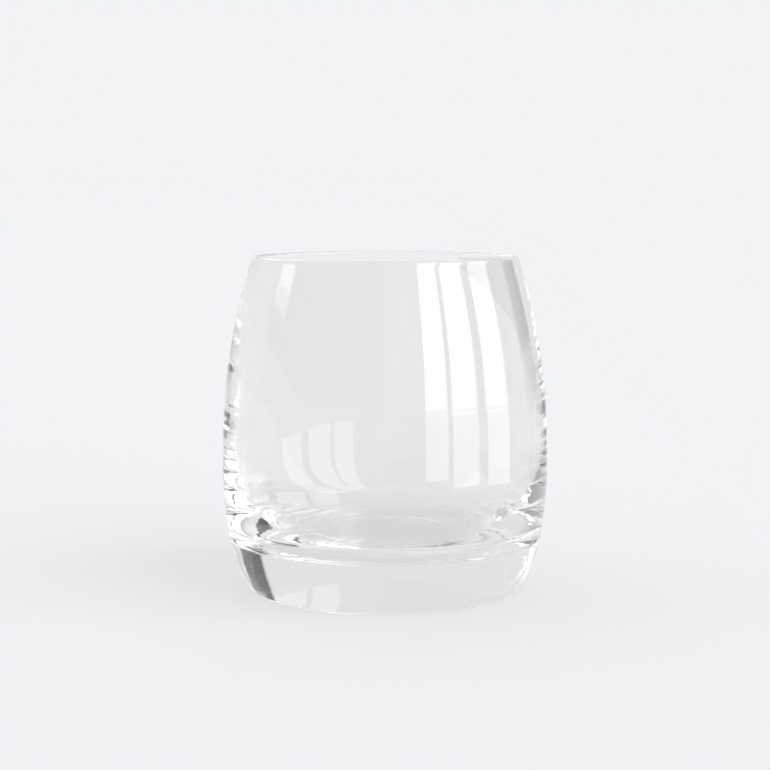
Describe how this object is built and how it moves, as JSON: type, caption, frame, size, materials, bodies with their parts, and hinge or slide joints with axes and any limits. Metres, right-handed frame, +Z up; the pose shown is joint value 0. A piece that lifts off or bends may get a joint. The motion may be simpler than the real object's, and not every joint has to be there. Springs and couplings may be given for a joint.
{
  "type": "whiskey tumbler",
  "caption": "Barrel-shaped drinking glass in clear colourless glass, with a thin lip and a thick solid base.",
  "frame": {"origin": "middle of the ring that the glass stands on, at the level of the surface under it", "axes": "+Z up along the glass's axis, towards its mouth; X and Y are any two level directions, because the glass is round"},
  "size_m": [0.0852, 0.0852, 0.087],
  "materials": {
    "clear_glass": "clear colourless soda-lime or crystal glass, fire-polished, index about 1.52"
  },
  "bodies": {
    "root": {"tumbler_glass": "clear_glass"}
  },
  "joints": []
}
